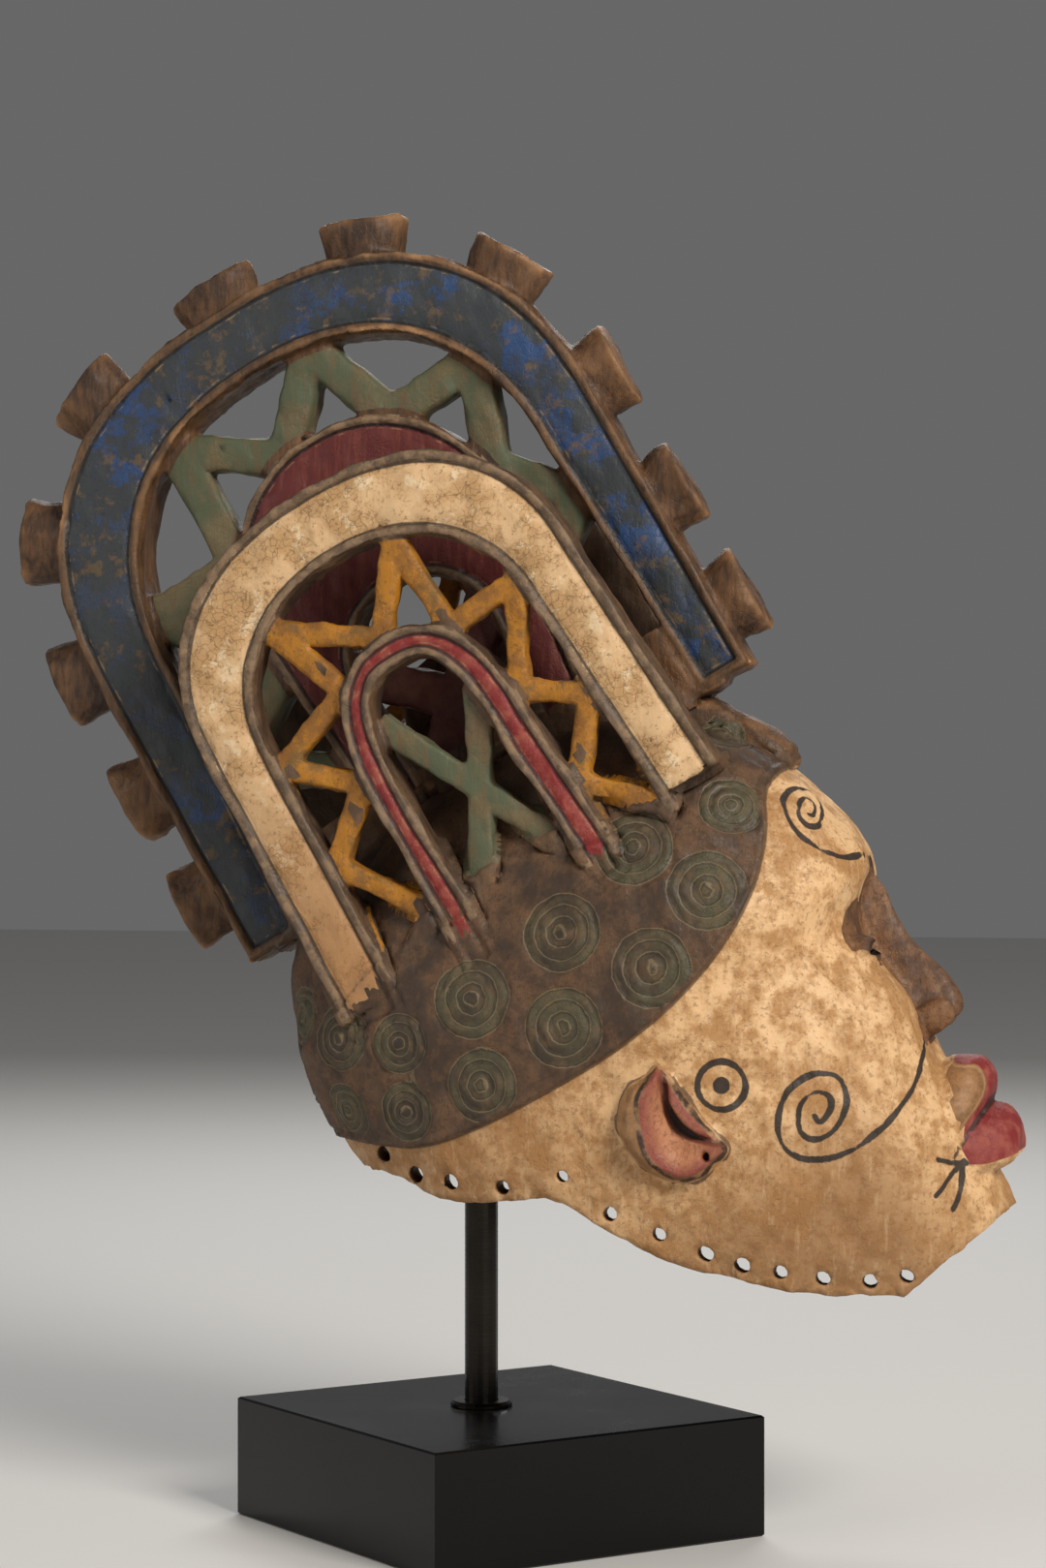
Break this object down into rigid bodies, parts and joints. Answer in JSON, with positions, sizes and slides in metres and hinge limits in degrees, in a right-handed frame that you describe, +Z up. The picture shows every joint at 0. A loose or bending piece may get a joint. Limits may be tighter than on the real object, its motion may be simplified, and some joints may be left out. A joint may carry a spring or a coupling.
{
  "type": "Igbo mask",
  "caption": "Painted wooden Igbo maiden-spirit helmet mask with an openwork crest, leaning back on a steel rod in a black plinth.",
  "frame": {"origin": "middle of the plinth's underside, on the plane the stand rests on", "axes": "+X the way the mask looks, +Z up, +Y to the left side of the face"},
  "size_m": [0.4272, 0.2262, 0.55],
  "materials": {
    "plinth_black": "polished black, sharp edges",
    "steel": "dark polished rod",
    "painted_wood": "worn mineral paints on carved wood"
  },
  "bodies": {
    "root": {"plinth": "plinth_black", "rod": "steel", "rod_foot_disc": "steel", "mask": "painted_wood"}
  },
  "joints": []
}
